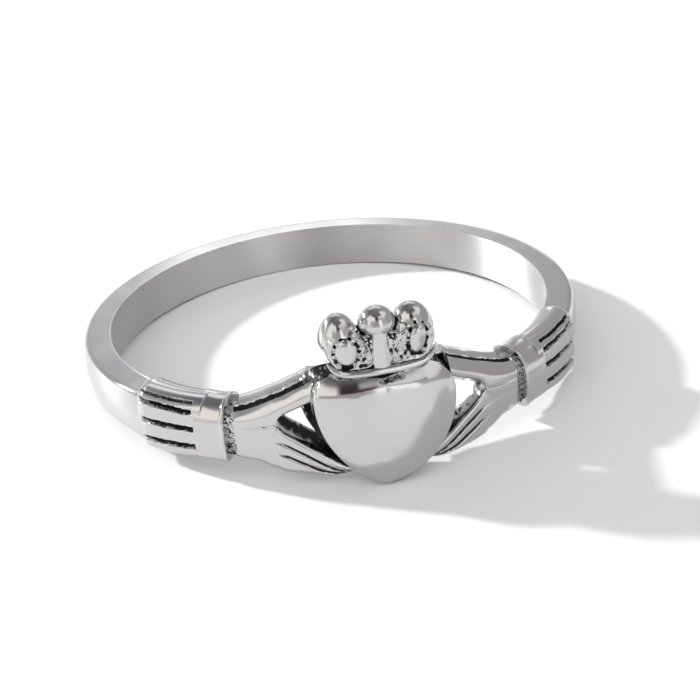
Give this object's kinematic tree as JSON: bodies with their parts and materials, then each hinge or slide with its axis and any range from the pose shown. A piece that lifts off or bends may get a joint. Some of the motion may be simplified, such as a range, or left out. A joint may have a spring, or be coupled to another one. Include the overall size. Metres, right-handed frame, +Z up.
{
  "type": "claddagh ring",
  "caption": "Finger ring with cuffed hands that hold a crowned heart, cast in one piece with a plain round band.",
  "frame": {"origin": "middle of the box's foot, on the table that the ring rests on", "axes": "+Z up to the crown, -Y to the front of the heart, +X to the right of the heart seen from the front"},
  "size_m": [0.0196, 0.0206, 0.0062],
  "materials": {
    "metal": "polished, with dark recesses"
  },
  "bodies": {
    "root": {"ring": "metal"}
  },
  "joints": []
}
